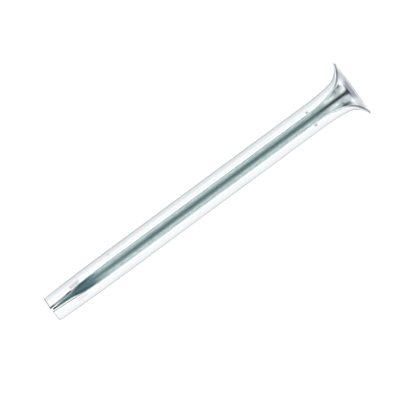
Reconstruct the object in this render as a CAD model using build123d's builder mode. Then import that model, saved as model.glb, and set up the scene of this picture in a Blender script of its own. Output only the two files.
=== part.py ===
from build123d import *
import os
from itertools import pairwise
from math import asin, atan2, cos, degrees, radians, sin, tan

# Hammer drive anchor: one strip of zinc plated steel, rolled into a sleeve with an open seam.
# It is drawn with its axis along X, from the tip at x = 0 to the rim of the head, seam upwards.
# Lengths are in millimetres and angles in degrees.

# Strip and overall length
overall_length = 100.0
sheet = 0.8
edge_round = 0.15

# Shank, a springy open tube a little over the size of its drilled hole
shank_diameter = 8.1
seam_gap = 3.5

# Tip, squeezed nearly shut so that it enters the hole. The jaws that close it end at the
# shoulder, where the seam opens quickly. Beside the seam the strip keeps its slope.
tip_diameter = 7.52
tip_length = 18.0
tip_gap = 1.3
nose_length = 7.1
nose_gap = 2.3
shoulder_length = 3.4
shoulder_gap = 3.05
lip_arc_angle = 14.4

# Head, flared like a trumpet by a slight lead, a tight bend and a straight lip
rim_diameter = 16.9
lead_angle = 8.0
lead_bend_radius = 55.0
flare_angle = 67.0
rim_lip = 0.9

# Horns, the two corners of the strip that the flare spreads apart
horn_half_angle = 82.0
horn_sweep = 2.2

# Sizes that follow from those above
shank_radius = shank_diameter / 2
tip_radius = tip_diameter / 2
rim_radius = rim_diameter / 2
seam_half_angle = degrees(asin(seam_gap / 2 / shank_radius))
shoulder_end = nose_length + shoulder_length
lead, flare = radians(lead_angle), radians(flare_angle)
bend_rise = rim_radius - shank_radius - lead_bend_radius * (1 - cos(lead)) - rim_lip * sin(flare)
bend_radius = bend_rise / (cos(lead) - cos(flare))
flare_reach = lead_bend_radius * sin(lead) + bend_radius * (sin(flare) - sin(lead)) + rim_lip * cos(flare)
rim_back = overall_length - sheet * sin(flare)
flare_start = rim_back - flare_reach


def tip_station(x):
    """Outer radius and half seam gap of the tip, at a distance x from its end."""
    radius = shank_radius - (shank_radius - tip_radius) * (1 - x / tip_length) ** 1.5
    if x <= nose_length:
        gap = tip_gap + (nose_gap - tip_gap) * x / nose_length
    elif x <= shoulder_end:
        gap = nose_gap + (shoulder_gap - nose_gap) * (x - nose_length) / shoulder_length
    else:
        gap = seam_gap - (seam_gap - shoulder_gap) * ((tip_length - x) / (tip_length - shoulder_end)) ** 2
    return radius, gap / 2


def tip_section(x):
    """Section of the strip across the tip: a round part, with a flatter lip at either end."""
    radius, half_gap = tip_station(x)
    lip_start_angle = seam_half_angle + lip_arc_angle
    lip_start, slope = radians(lip_start_angle), radians(seam_half_angle)
    climb = (radius * sin(lip_start) - half_gap) * tan((lip_start + slope) / 2)
    edges = ShapeList()
    corners = []
    for inset in (0, sheet):
        y = half_gap - inset * sin(slope)
        z = radius * cos(lip_start) + climb - inset * cos(slope)
        round_part = CenterArc((0, 0), radius - inset, 90 - lip_start_angle, 2 * lip_start_angle - 360)
        edges.append(round_part)
        edges.append(TangentArc(round_part @ 0, (y, z), tangent=-(round_part % 0)))
        edges.append(TangentArc(round_part @ 1, (-y, z), tangent=round_part % 1))
        corners.append((y, z))
    for side in (1, -1):
        edges.append(Line([(side * y, z) for y, z in corners]))
    return Plane.YZ.offset(x) * make_face(edges.edges())


def horn_station(path, share):
    """Seam edge of the flare, seen along the axis, at a share of the path from shank to rim."""
    half_angle = seam_half_angle + (horn_half_angle - seam_half_angle) * share**horn_sweep
    radius = (path @ share).Y
    return radius * sin(radians(half_angle)), radius * cos(radians(half_angle))


# Outer skin of shank and head, turned, with the opening of the seam cut from it
with BuildPart() as skin:
    with BuildSketch(Plane.XZ):
        with BuildLine():
            shank_line = Line((tip_length, shank_radius), (flare_start, shank_radius))
            lead_arc = JernArc(shank_line @ 1, (1, 0), lead_bend_radius, lead_angle)
            bend_arc = JernArc(lead_arc @ 1, lead_arc % 1, bend_radius, flare_angle - lead_angle)
            lip_line = PolarLine(bend_arc @ 1, rim_lip, flare_angle)
            Polyline(lip_line @ 1, ((lip_line @ 1).X, 0), (tip_length, 0), (tip_length, shank_radius))
        make_face()
    revolve(axis=Axis.X)

    # Along the shank the edges of the seam lie on planes through the axis
    seam_depth = 2 * shank_radius
    seam_side = seam_depth * tan(radians(seam_half_angle))
    with BuildSketch(Plane.YZ.offset(tip_length)):
        Polygon((0, 0), (seam_side, seam_depth), (-seam_side, seam_depth), align=None)
    extrude(amount=flare_start - tip_length, mode=Mode.SUBTRACT)

    # In the flare the seam swings out to the corners of the horns
    flare_path = Wire([lead_arc.edge(), bend_arc.edge(), lip_line.edge()])
    horn_edge = [horn_station(flare_path, step / 8) for step in range(9)]
    beyond_rim = tuple(1.2 * distance for distance in horn_edge[-1])
    above_head = 2 * rim_radius
    with BuildSketch(Plane.YZ.offset(flare_start)):
        with BuildLine():
            Line((0, 0), horn_edge[0])
            Spline(*horn_edge)
            Polyline(horn_edge[-1], beyond_rim, (beyond_rim[0], above_head), (0, above_head))
            mirror(about=Plane.YZ)
        make_face()
    extrude(amount=overall_length - flare_start, mode=Mode.SUBTRACT)

turned_types = (GeomType.CYLINDER, GeomType.TORUS, GeomType.CONE)
skin_faces = skin.faces().filter_by(lambda face: face.geom_type in turned_types)

# The tip is lofted in three zones, with a crease where the jaws end and where the shoulder ends
tip_zones = [
    [tip_section(start + (end - start) * step / 3) for step in range(4)]
    for start, end in pairwise((0, nose_length, shoulder_end, tip_length))
]

with BuildPart() as sleeve:
    for sections in tip_zones:
        loft(sections)
    thicken(skin_faces, amount=-sheet)

    # The sheared edges of the rim are broken all round, to spare the hand
    end_radius = rim_radius - sheet / 2 * cos(flare)
    under_rim = Vector((rim_back + overall_length) / 2, 0, -end_radius)
    rim_end = sleeve.faces().sort_by_distance(under_rim)[0]
    fillet(rim_end.edges(), edge_round)

# The sleeve can't stand: it lies on its rim and its tip, over the middle of its own outline
rest_angle = degrees(atan2(rim_radius - tip_radius, rim_back))
resting = sleeve.part.rotate(Axis.Y, -rest_angle)
outline = resting.bounding_box()
resting = resting.translate((-outline.center().X, -outline.center().Y, -outline.min.Z))
resting.label = "anchor_sleeve"

os.makedirs("parts", exist_ok=True)
export_step(resting, "parts/anchor_sleeve.step")
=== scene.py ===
from math import asin, cos, pi, radians, sin

import bmesh
import bpy
import numpy as np
from mathutils import Matrix, Vector


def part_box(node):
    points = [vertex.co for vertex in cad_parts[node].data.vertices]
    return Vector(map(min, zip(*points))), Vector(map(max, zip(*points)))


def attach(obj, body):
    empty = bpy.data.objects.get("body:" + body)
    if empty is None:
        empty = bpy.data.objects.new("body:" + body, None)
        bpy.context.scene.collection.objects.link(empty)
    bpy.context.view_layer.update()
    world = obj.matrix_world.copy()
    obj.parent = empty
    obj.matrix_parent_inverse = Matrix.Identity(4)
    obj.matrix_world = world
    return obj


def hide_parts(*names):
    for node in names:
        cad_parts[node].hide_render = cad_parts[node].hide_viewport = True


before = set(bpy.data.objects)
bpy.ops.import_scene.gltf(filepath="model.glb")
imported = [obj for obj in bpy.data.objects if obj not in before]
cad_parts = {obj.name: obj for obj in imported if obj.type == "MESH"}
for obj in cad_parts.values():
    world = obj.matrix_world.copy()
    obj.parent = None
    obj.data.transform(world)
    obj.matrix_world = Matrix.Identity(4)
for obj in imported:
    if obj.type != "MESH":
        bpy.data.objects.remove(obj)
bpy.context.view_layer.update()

# ---- Sleeve ----
# One strip of zinc plated sheet steel, rolled into a tube with an open seam. The tip is pinched
# nearly shut. The head is flared like a trumpet, and the seam spreads it into two horns.
# Lengths of the sleeve are in millimetres, and its mesh is brought to metres at the end.

per_metre = 1000
overall_length = 100.0
sheet = 0.8
edge_round = 0.15
shank_radius = 4.05
seam_gap = 3.5
seam_angle = asin(seam_gap / 2 / shank_radius)

# Tip. The gaps between its lips are drawn a little nearer than in the solid, and the inner
# corners of the lips lean in by a length that differs from place to place.
tip_radius = 3.76
tip_length = 18.0
tip_gap = 1.1
nose_length, nose_gap = 7.1, 2.05
shoulder_end, shoulder_gap = 10.5, 2.95
lip_start = seam_angle + radians(14.4)
lean_places = (0, 1.5, 4, nose_length, shoulder_end)
lean_lengths = (0.04, 0.12, 0.2, 0.2, 0)
lean_width = 1.0

# Head. A slight lead, a tight bend and a straight lip make its flare.
rim_radius = 8.45
lead_angle, lead_bend = radians(8), 55.0
flare_angle, rim_lip = radians(67), 0.9
horn_angle, horn_sweep = radians(82), 2.2
lead_rise = lead_bend * (1 - cos(lead_angle))
bend_rise = rim_radius - shank_radius - lead_rise - rim_lip * sin(flare_angle)
bend = bend_rise / (cos(lead_angle) - cos(flare_angle))
bend_reach = bend * (sin(flare_angle) - sin(lead_angle))
lead_run = lead_bend * lead_angle
bend_run = bend * (flare_angle - lead_angle)
flare_run = lead_run + bend_run + rim_lip
flare_reach = lead_bend * sin(lead_angle) + bend_reach + rim_lip * cos(flare_angle)
rim_back = overall_length - sheet * sin(flare_angle)
flare_start = rim_back - flare_reach


def flare_at(run):
    """Where the outer skin of the flare is, at a run along its meridian from the shank: its place
    on the axis, its radius and its slope. The slope grows evenly along the slight lead, then
    evenly but faster round the bend, and stays as it is along the straight lip."""
    bent = np.clip((run - lead_run) / bend, 0, flare_angle - lead_angle)
    slope = np.clip(run / lead_bend, 0, lead_angle) + bent
    on_lead, in_bend = np.minimum(slope, lead_angle), np.maximum(slope, lead_angle)
    on_lip = np.maximum(run - lead_run - bend_run, 0)
    place = (lead_bend * np.sin(on_lead) + bend * (np.sin(in_bend) - sin(lead_angle))
             + on_lip * cos(flare_angle))
    radius = (shank_radius + lead_bend * (1 - np.cos(on_lead))
              + bend * (cos(lead_angle) - np.cos(in_bend)))
    return flare_start + place, radius + on_lip * sin(flare_angle), slope


def sleeve_mesh(name, stations=(36, 18, 38, 60, 140), around=120, corner=5):
    """The strip as rings, each a closed outline of its section, set one after another from the
    tip to the rim. A ring's points have two parameters: the share of the way round from one edge
    of the seam to the other, and the depth under the outer skin. A point lies at the radius of
    its station less its depth, at an angle that runs evenly round from edge to edge. Its four
    corners are quarter rounds. In the tip the part beside the seam has a larger radius of its
    own, tangent to the rest, which closes the seam. There a point also leans towards the seam,
    by its depth as a share of the sheet, times the square of its nearness to the edge. In the
    flare the depth runs square to the slope of the skin, and the seam widens with a power of the
    run. At the rim the ring is drawn in along a quarter round as well."""
    # Stations: place on the axis, run along the strip, radius, slope, angle of the seam's edge
    ends = (0, nose_length, shoulder_end, tip_length, flare_start)
    zones = zip(ends, ends[1:], stations)
    straight = [np.linspace(start, end, count, endpoint=False) for start, end, count in zones]
    straight = np.concatenate(straight)
    turn = np.linspace(0, np.pi / 2, corner + 3)
    run = np.linspace(0, flare_run - edge_round, stations[-1], endpoint=False)
    run = np.concatenate([run, flare_run - edge_round * (1 - np.sin(turn))])
    drawn_in = np.zeros(len(straight) + stations[-1])
    drawn_in = np.concatenate([drawn_in, edge_round * (1 - np.cos(turn))])
    place, radius, slope = flare_at(run)
    in_tip = np.clip(1 - straight / tip_length, 0, 1)
    radius = np.concatenate([shank_radius - (shank_radius - tip_radius) * in_tip**1.5, radius])
    slope = np.concatenate([0 * straight, slope])
    place = np.concatenate([straight, place])
    run = np.concatenate([straight, flare_start + run])
    in_flare = np.clip(run - flare_start, 0, None)
    edge = seam_angle + (horn_angle - seam_angle) * (in_flare / flare_run) ** horn_sweep
    spread = horn_sweep * (horn_angle - seam_angle) * in_flare ** (horn_sweep - 1)
    aslant = np.hypot(1, radius * spread / flare_run**horn_sweep)

    # Gap between the lips of the tip, and the radius of the lips that gives it
    gap = np.interp(place, (0, nose_length, shoulder_end), (tip_gap, nose_gap, shoulder_gap))
    shoulder = np.clip((tip_length - place) / (tip_length - shoulder_end), 0, 1)
    gap = np.where(place > shoulder_end, seam_gap - (seam_gap - shoulder_gap) * shoulder**2, gap)
    lips = (radius * sin(lip_start) - gap / 2) / (sin(lip_start) - sin(seam_angle))
    lips = np.where(place < tip_length, lips, radius)

    # One ring: share of the way round, lean into the corner, and depth in rounds and in sheets
    quarter = np.linspace(0, np.pi / 2, corner)
    skin = np.linspace(0, 1, around)[1:-1]
    level = 0 * quarter
    share = np.concatenate([level, skin, 1 + level, 1 + level, skin[::-1], level])
    near_corners = [np.cos(quarter), 0 * skin, -np.sin(quarter)]
    far_corners = [-np.cos(quarter), 0 * skin, np.sin(quarter)]
    lean = np.concatenate(near_corners + far_corners)
    rounds = np.concatenate([1 - np.sin(quarter), 0 * skin, 1 - np.cos(quarter)])
    deep = np.concatenate([0 * rounds, 1 + 0 * rounds])
    rounds = np.concatenate([rounds, rounds])

    def column(values):
        return values[:, None]

    round_left = column(edge_round - drawn_in)
    depth = column(drawn_in) + round_left * rounds
    depth = np.where(deep > 0, sheet - depth, depth)

    # Along the ring: angle from the top, round through the underside to the other edge
    skin_radius = column(radius) - depth * np.cos(column(slope))
    tuck = column(aslant) / skin_radius
    first = column(edge) + edge_round * tuck
    angle = first + share * (2 * np.pi - 2 * first) - lean * round_left * tuck
    side = np.where(angle < np.pi, 1, -1)
    from_seam = np.minimum(angle, 2 * np.pi - angle)
    near_seam = (from_seam - column(edge)) * column(radius)
    lip_lean = column(np.interp(place, lean_places, lean_lengths) / radius)
    nearness = np.clip(1 - near_seam / lean_width, 0, 1)
    from_seam = from_seam - lip_lean * depth / sheet * nearness**2
    in_lip = from_seam < lip_start
    shift = np.where(in_lip, column(radius - lips), 0)
    reach = np.where(in_lip, column(lips) - depth * np.cos(column(slope)), skin_radius)
    x = column(place) + depth * np.sin(column(slope))
    y = side * (reach * np.sin(from_seam) + shift * sin(lip_start))
    z = reach * np.cos(from_seam) + shift * cos(lip_start)
    points = np.stack([x, y, z], axis=-1)

    # Faces: quads between rings, and both ends closed by quads from the outer skin to the inner
    rings, size = x.shape
    index = np.arange(rings * size).reshape(rings, size)
    onward = np.roll(index, -1, axis=1)
    walls = np.stack([index[:-1], onward[:-1], onward[1:], index[1:]], axis=-1).reshape(-1, 4)
    half = size // 2
    between = slice(corner - 1, half - corner + 1)
    outer, inner = index[:, between], index[:, ::-1][:, between]
    tip = np.stack([outer[0, :-1], inner[0, :-1], inner[0, 1:], outer[0, 1:]], axis=-1)
    rim = np.stack([outer[-1, 1:], inner[-1, 1:], inner[-1, :-1], outer[-1, :-1]], axis=-1)
    tip_ring = index[0]
    tip_corners = [tip_ring[half - corner:half + corner][::-1].tolist(),
                   np.concatenate([tip_ring[-corner:], tip_ring[:corner]])[::-1].tolist()]
    faces = np.concatenate([walls, tip, rim]).tolist() + tip_corners
    mesh = bpy.data.meshes.new(name)
    mesh.from_pydata(points.reshape(-1, 3).tolist(), [], faces)

    # The strip's own coordinates: run along it, and way round it at the radius of the shank
    strip = np.stack([column(run) + 0 * x, angle * shank_radius], axis=-1) / per_metre
    corner_of = np.empty(len(mesh.loops), dtype=int)
    mesh.loops.foreach_get("vertex_index", corner_of)
    layer = mesh.uv_layers.new(name="strip")
    layer.uv.foreach_set("vector", strip.reshape(-1, 2)[corner_of].ravel())
    for label, values in (("under", depth / sheet), ("from_edge", near_seam)):
        mesh.attributes.new(label, "FLOAT", "POINT").data.foreach_set("value", values.ravel())
    return mesh


# The sleeve lies on its rim and its tip, over the middle of its own outline
rest_angle = np.arctan2(rim_radius - tip_radius, rim_back)
mesh = sleeve_mesh("anchor_sleeve_fine")
mesh.transform(Matrix.Rotation(-rest_angle, 4, "Y"))
low, high = (Vector(corner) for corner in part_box("anchor_sleeve"))
points = np.empty(3 * len(mesh.vertices))
mesh.vertices.foreach_get("co", points)
points = points.reshape(-1, 3) / per_metre
mesh.transform(Matrix.Scale(1 / per_metre, 4))
move = Vector((high.x - points[:, 0].max(), 0, low.z - points[:, 2].min()))
mesh.transform(Matrix.Translation(move))
same_point, sharp_angle = 1e-6, radians(40)
work = bmesh.new()
work.from_mesh(mesh)
bmesh.ops.remove_doubles(work, verts=work.verts, dist=same_point)
bmesh.ops.recalc_face_normals(work, faces=work.faces)
work.to_mesh(mesh)
work.free()
mesh.shade_smooth()
mesh.set_sharp_from_angle(angle=sharp_angle)
sleeve = bpy.data.objects.new("anchor_sleeve_fine", mesh)
bpy.context.scene.collection.objects.link(sleeve)


class Socket:
    """An output socket in a tree of nodes. Sums, products and powers of it add Math nodes."""

    def __init__(self, tree, socket=None):
        self.tree, self.socket = tree, socket

    def node(self, kind, settings=None, inputs=None, output=0):
        """Adds a node of a kind with its settings. Its inputs, by name or number, are linked to
        sockets or set to values. Gives back the output that is asked for, if it has any."""
        made = self.tree.nodes.new(kind)
        for name, value in (settings or {}).items():
            setattr(made, name, value)
        for key, value in (inputs or {}).items():
            slot = made.inputs[key]
            if isinstance(value, Socket):
                self.tree.links.new(value.socket, slot)
            else:
                slot.default_value = (*value, 1) if slot.type == "RGBA" else value
        return Socket(self.tree, made.outputs[output]) if len(made.outputs) else None

    def math(self, operation, *values):
        """A Math node of an operation on values or sockets."""
        return self.node("ShaderNodeMath", {"operation": operation}, dict(enumerate(values)))

    def __add__(self, other): return self.math("ADD", self, other)
    def __radd__(self, other): return self.math("ADD", other, self)
    def __sub__(self, other): return self.math("SUBTRACT", self, other)
    def __rsub__(self, other): return self.math("SUBTRACT", other, self)
    def __mul__(self, other): return self.math("MULTIPLY", self, other)
    def __rmul__(self, other): return self.math("MULTIPLY", other, self)
    def __pow__(self, other): return self.math("POWER", self, other)

    def unsigned(self):
        """Its value without its sign."""
        return self.math("ABSOLUTE", self)

    def split(self):
        """The three parts of a vector."""
        first = self.node("ShaderNodeSeparateXYZ", inputs={"Vector": self})
        return [Socket(self.tree, part) for part in first.socket.node.outputs]

    def mix(self, colour, other):
        """The first colour where this value is 0, and the other where it is 1."""
        inputs = {0: self, 6: colour, 7: other}
        return self.node("ShaderNodeMix", {"data_type": "RGBA"}, inputs, output=2)

    def band(self, low, high):
        """Rises smoothly from 0 at low to 1 at high."""
        limits = {"Value": self, "From Min": low, "From Max": high}
        return self.node("ShaderNodeMapRange", {"interpolation_type": "SMOOTHSTEP"}, limits)


# Zinc plate over bright drawn steel, passivated to a faint blue green tint. It is laid out on the
# strip before rolling: along it from the tip, back from the rim, round it from the top by way of
# the left side, away from the line along the bottom, and in from the edge of the seam, all in
# millimetres, and under the outer skin as a share of the sheet. A pair of such numbers says
# where a band fades in from, and to.
zinc = bpy.data.materials.new("zinc_plate")
zinc.use_nodes = True
zinc.node_tree.nodes.clear()
plating = Socket(zinc.node_tree)
strip = plating.node("ShaderNodeUVMap", {"uv_map": "strip"})
along, round_it = (part * per_metre for part in strip.split()[:2])
to_rim = (flare_start + flare_run) - along
below = (round_it - pi * shank_radius).unsigned()
under = plating.node("ShaderNodeAttribute", {"attribute_name": "under"}, output="Fac")
from_edge = plating.node("ShaderNodeAttribute", {"attribute_name": "from_edge"}, output="Fac")
outer_limit, cut_limit, inner_limit = (0.05, 0.15), (0.1, 0.2), (0.98, 1.0)
bottom_limit, horn_limit = (10, 15), (6.5, 4.5)
inside = under.band(*inner_limit)
cut = under.band(*cut_limit) * (1 - inside)
outside = 1 - under.band(*outer_limit)
left = 1 - round_it.band(*bottom_limit)
on_horn = to_rim.band(*horn_limit)


def noise(stretch, scale, detail=3.0):
    """Noise on the strip, with its along and across coordinates stretched by their own shares."""
    stretched = plating.node("ShaderNodeVectorMath", {"operation": "MULTIPLY"},
                             {0: strip, 1: (*stretch, 1)})
    return plating.node("ShaderNodeTexNoise", inputs={
        "Vector": stretched, "Scale": scale, "Detail": detail, "Roughness": 0.55})


def by_side(on_right, on_left):
    """A number that differs between the right half of the strip and the left."""
    return on_right - (on_right - on_left) * left


drawn = noise(stretch=(0.12, 14), scale=220, detail=1.5)
patches = noise(stretch=(1, 1.6), scale=90)
streaks = noise(stretch=(0.4, 3), scale=1400)

# Outer skin: neutral, in faint patches, with painted shade on the rounded edge of the tip, darker
# on the left
outer_dull, outer_bright = (0.57, 0.58, 0.59), (0.61, 0.62, 0.63)
tip_edge_shade_right, tip_edge_shade_left = (0.30, 0.30, 0.31), (0.18, 0.18, 0.19)
tip_edge = (0.35, 0.15)
outer = patches.mix(outer_dull, outer_bright)
outer = along.band(*tip_edge).mix(outer, left.mix(tip_edge_shade_right, tip_edge_shade_left))

# Inner skin: tinted, in faint patches, with painted shade along the bottom of the tube and painted
# shade inside the pinched tip, darkest in its mouth
inner_dull, inner_bright, bottom_shade = (0.91, 0.955, 0.955), (0.94, 0.97, 0.97), (0.74, 0.76, 0.76)
nose_shade, shoulder_shade, mouth_shade = (0.74, 0.84, 0.86), (0.62, 0.74, 0.76), (0.20, 0.24, 0.25)
bottom_width, bottom_from_tip, bottom_from_rim = (1.4, 0.9), (10, 32), (8, 14)
pinched, past_nose, in_mouth = (16, 11), (6, 8), (2.4, 1.3)
bottom = below.band(*bottom_width) * along.band(*bottom_from_tip) * to_rim.band(*bottom_from_rim)
inner = bottom.mix(patches.mix(inner_dull, inner_bright), bottom_shade)
inner = along.band(*pinched).mix(inner, along.band(*past_nose).mix(nose_shade, shoulder_shade))
inner = along.band(*in_mouth).mix(inner, mouth_shade)

# Inside of the flare: painted shade, in a darker ring in its bend that is darkest along the bottom,
# on the matt lip and rim, and on grey walls at the horns
ring_shade_bottom, ring_shade_side, wall_shade = (0.28, 0.28, 0.32), (0.58, 0.58, 0.62), (0.62, 0.63, 0.65)
lip_shade, rim_shade = (0.76, 0.76, 0.80), (0.66, 0.66, 0.68)
ring_back, ring_front, ring_width = 3.5, 2.9, (1.0, 2.6)
wall_back, wall_height = (6.0, 5.0), (2.2, 3.0)
lip_limit, rim_limit = (1.6, 1.1), (0.6, 0.4)
ring = below.band(*ring_width).mix(ring_shade_bottom, ring_shade_side)
on_lip = to_rim.band(*lip_limit)
inner = to_rim.band(ring_back, ring_front).mix(inner, ring)
inner = on_lip.mix(inner, lip_shade)
inner = to_rim.band(*rim_limit).mix(inner, rim_shade)
wall = to_rim.band(*wall_back) * to_rim.band(ring_front, ring_back) * below.band(*wall_height)
inner = wall.mix(inner, wall_shade)

# Two patches of painted shade beside the roots of the horns, the left one nearer the rim
pocket_shade_dark, pocket_shade_strength = (0.10, 0.13, 0.14), 0.88
pocket_shade_front = (3.5, 4.6)
pocket_shade_back = by_side(6.7, 5.6), by_side(5.4, 4.4)
pocket_shade_foot = by_side(1.9, 1.6), by_side(3.0, 2.6)
pocket_shade_top = by_side(4.2, 3.4), by_side(3.2, 2.6)
pocket_shade = to_rim.band(*pocket_shade_front) * to_rim.band(*pocket_shade_back)
pocket_shade = pocket_shade * below.band(*pocket_shade_foot) * below.band(*pocket_shade_top)
inner = (pocket_shade * pocket_shade_strength).mix(inner, pocket_shade_dark)

# Cut edges of the seam: light, with painted shade on the left along the shank, and darker painted
# shade on the left lip of the tip and on the horns
tip_cut, shank_cut, left_cut_shade = (0.92, 0.94, 0.94), (0.90, 0.98, 0.98), (0.74, 0.79, 0.79)
lip_cut_shade, horn_cut_shade = (0.34, 0.42, 0.43), (0.38, 0.38, 0.40)
past_tip, left_from_tip, left_from_rim = (12, 16), (14, 22), (5, 10)
left_lip_start, left_lip_end, horn_depth = (1.4, 3.8), (15, 11), (0.25, 0.5)
edges = along.band(*past_tip).mix(tip_cut, shank_cut)
edges = (left * along.band(*left_from_tip) * to_rim.band(*left_from_rim)).mix(edges, left_cut_shade)
edges = (left * along.band(*left_lip_start) * along.band(*left_lip_end)).mix(edges, lip_cut_shade)
edges = (on_horn * under.band(*horn_depth)).mix(edges, horn_cut_shade)
colour = cut.mix(inside.mix(outer, inner), edges)

# Painted shade along the outer corners of the tip's lips, darkest at both ends of that line and
# stronger on the left
corner_shade_grey, corner_shade_dark = (0.16, 0.16, 0.165), (0.03, 0.03, 0.035)
corner_shade_width = by_side(0.12, 0.24), by_side(0.06, 0.16)
corner_shade_length, corner_shade_depth, corner_shade_strength = (8.0, 7.0), (0.12, 0.25), by_side(0.78, 0.95)
first_end, last_end = (1.9, 1.1), (5.2, 6.0)
corner_shaded = from_edge.band(*corner_shade_width) * along.band(*corner_shade_length)
corner_shaded = corner_shaded * (1 - under.band(*corner_shade_depth)) * corner_shade_strength
corner_shade = (along.band(*first_end) + along.band(*last_end)).mix(corner_shade_grey, corner_shade_dark)
colour = corner_shaded.mix(colour, corner_shade)

# Hatched patches of painted shade beside the seam, where the pinched tip opens into the shank,
# stronger on the left
seam_shade_dark, seam_shade_grey, seam_shade_fade = (0.31, 0.30, 0.31), (0.50, 0.49, 0.50), (0.4, 1.2)
seam_shade_start, seam_shade_end, seam_shade_width = (7.3, 7.7), (10.8, 10.2), (1.2, 0.95)
seam_shade_strength, seam_shade_ground, hatch = by_side(0.32, 0.82), 0.45, (0.35, 0.6)
hatched = seam_shade_ground + (1 - seam_shade_ground) * streaks.band(*hatch)
seam_shaded = (1 - inside) * along.band(*seam_shade_start) * along.band(*seam_shade_end)
seam_shaded = seam_shaded * from_edge.band(*seam_shade_width) * seam_shade_strength * hatched
colour = seam_shaded.mix(colour, from_edge.band(*seam_shade_fade).mix(seam_shade_dark, seam_shade_grey))

# Small marks: a nick at either side of the seam, a speck, and painted shade on the rounded edge of
# the rim
nick_from_rim, nick_length, nick_width, nick_dark = 15, (0.45, 0.3), (0.75, 0.5), (0.22, 0.23, 0.24)
speck_along, speck_round, speck_size, speck_dark = 21, 3.5, (0.06, 0.02), (0.12, 0.12, 0.13)
rim_edge, rim_edge_shade = (0.28, 0.16), (0.50, 0.50, 0.52)
mark_strength = 0.8
nicked = (to_rim - nick_from_rim).unsigned().band(*nick_length) * from_edge.band(*nick_width)
speck = ((along - speck_along) ** 2.0 + (round_it - speck_round) ** 2.0).band(*speck_size)
colour = (outside * nicked * mark_strength).mix(colour, nick_dark)
colour = (outside * speck * mark_strength).mix(colour, speck_dark)
colour = to_rim.band(*rim_edge).mix(colour, rim_edge_shade)

# Gloss: bright, a little rougher in patches and drawn lines, and matt where it was cut or struck
gloss, drawn_rough, patch_rough, inner_rough, cut_rough = 0.09, 0.06, 0.05, 0.05, 0.4
rough = gloss + drawn * drawn_rough + patches * patch_rough + inside * inner_rough + cut * cut_rough
matt, matt_strength = cut * (1 - on_horn) + on_lip * (1 - outside), 0.7
line_depth, inner_lines = 0.00002, 0.3
line_height = drawn * (inner_lines + (1 - inner_lines) * outside)
lines = {"Strength": 0.2, "Distance": line_depth, "Height": line_height}
plate = plating.node("ShaderNodeBsdfPrincipled", inputs={
    "Base Color": colour, "Metallic": 1 - matt_strength * matt.band(0, 1), "Roughness": rough,
    "Specular Tint": (0.58, 0.57, 0.57), "Normal": plating.node("ShaderNodeBump", inputs=lines)})
plating.node("ShaderNodeOutputMaterial", inputs={"Surface": plate})
mesh.materials.append(zinc)
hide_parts("anchor_sleeve")
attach(sleeve, "root")

# ---- Floor ----
# A plain matt white studio floor. It gives off a little light of its own, so that it leaves no
# shadow, and more of it on the sleeve's right.

floor_width = 6
paper_white, paper_rough, glow_strength = (0.9, 0.9, 0.9, 1), 0.9, 0.4
glow_left, glow_right, glow_limit = (1.08, 1.07, 1.07), (1.46, 1.44, 1.42), (0.004, -0.004)
bpy.ops.mesh.primitive_plane_add(size=floor_width, location=(0, 0, 0))
floor = bpy.context.object
floor.name = "studio_floor"
paper = bpy.data.materials.new("studio_white")
paper.use_nodes = True
paper_sheet = paper.node_tree.nodes["Principled BSDF"]
paper_sheet.inputs["Base Color"].default_value = paper_white
paper_sheet.inputs["Roughness"].default_value = paper_rough
paper_sheet.inputs["Emission Strength"].default_value = glow_strength
place = Socket(paper.node_tree).node("ShaderNodeTexCoord", output="Object")
glow = place.split()[1].band(*glow_limit).mix(glow_left, glow_right)
paper.node_tree.links.new(glow.socket, paper_sheet.inputs["Emission Color"])
floor.data.materials.append(paper)

# ---- Light ----
# A white light tent. It is brightest at both sides, dimmer ahead of the sleeve's head, and has a
# dark gap overhead along the sleeve, which the inside of the tube mirrors.

world = bpy.data.worlds.new("light_tent")
bpy.context.scene.world = world
world.use_nodes = True
world.node_tree.nodes.clear()
tent = Socket(world.node_tree)
ahead, across = tent.node("ShaderNodeTexCoord", output="Generated").split()[:2]
off_centre = across.unsigned()

# Ahead of the head: dimmer, and tinted differently to the left and right of the sleeve
steep_right, steep_left = (0.50, 0.54, 0.54), (0.50, 0.57, 0.60)
flat_right, flat_left, flat_side = (0.90, 0.93, 0.97), (0.64, 0.70, 0.78), (0.62, 0.62, 0.64)
middle, far_side, low_ahead = (-0.2, 0.2), (0.4, 0.6), (0.45, 0.75)
on_left = across.band(*middle)
steep = on_left.mix(steep_right, steep_left)
flat = off_centre.band(*far_side).mix(on_left.mix(flat_right, flat_left), flat_side)
front = ahead.band(*low_ahead).mix(steep, flat)

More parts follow.
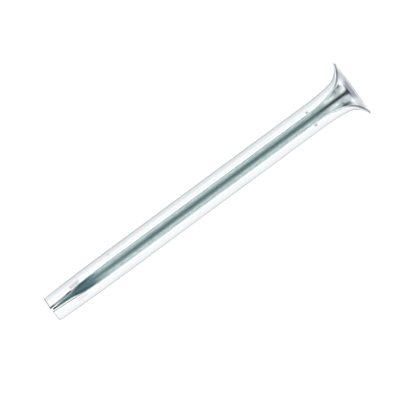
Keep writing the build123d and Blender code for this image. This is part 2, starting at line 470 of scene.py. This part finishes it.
# Overhead: grey beside the gap, brightest further out, and a little less bright low down
beside_gap, side_light, low_light = (0.30, 0.39, 0.39), (3.5, 3.5, 3.5), (1.6, 1.6, 1.6)
to_sides, low_down, to_front = (0.30, 0.52), (0.72, 0.8), (0.0, 0.14)
above = off_centre.band(*to_sides).mix(beside_gap, side_light)
above = off_centre.band(*low_down).mix(above, low_light)

# The gap: wide and soft towards the tip, narrow, sharp and darker towards the head
gap_behind, gap_ahead, gap_fade = (0.185, 0.28, 0.298), (0.03, 0.032, 0.035), (-0.09, 0.05)
wide_gap, narrow_gap, narrowing, gap_slant = (0.05, 0.48), (0.19, 0.27), (-0.05, 0.07), 0.05
gap = ahead.band(*gap_fade).mix(gap_behind, gap_ahead)
past_narrow_gap = (off_centre + ahead * gap_slant).band(*narrow_gap)
past_gap = ahead.band(*narrowing).mix(off_centre.band(*wide_gap), past_narrow_gap)
shade = past_gap.mix(gap, ahead.band(*to_front).mix(above, front))
background = tent.node("ShaderNodeBackground", inputs={"Color": shade, "Strength": 1.0})
tent.node("ShaderNodeOutputWorld", inputs={"Surface": background})

# ---- Camera ----
# High above the middle of the sleeve with a long lens, turned so that the sleeve runs up to the
# right, and moved a little to the seam's left.

turn = radians(36.5)
lean = radians(1.6)
height = 1.15
width_seen = 0.106686
sensor_width = 36
aim = Vector((-0.0008, 0.00015, 0.0072))
back = Vector((0, sin(lean), cos(lean)))
right = Vector((cos(turn), -sin(turn), 0))
right = (right - back * right.dot(back)).normalized()
up = back.cross(right)
camera = bpy.data.objects.new("camera", bpy.data.cameras.new("camera"))
bpy.context.scene.collection.objects.link(camera)
camera.data.sensor_width = sensor_width
camera.data.lens = sensor_width * height / width_seen
camera.data.clip_end = 20
axes = Matrix((right, up, back)).transposed().to_4x4()
camera.matrix_world = Matrix.Translation(aim + height * back) @ axes
bpy.context.scene.camera = camera
bpy.context.scene.view_settings.view_transform = "Standard"

# Light leaves the inside of the tube after up to eleven reflections
bpy.context.scene.cycles.glossy_bounces = 12
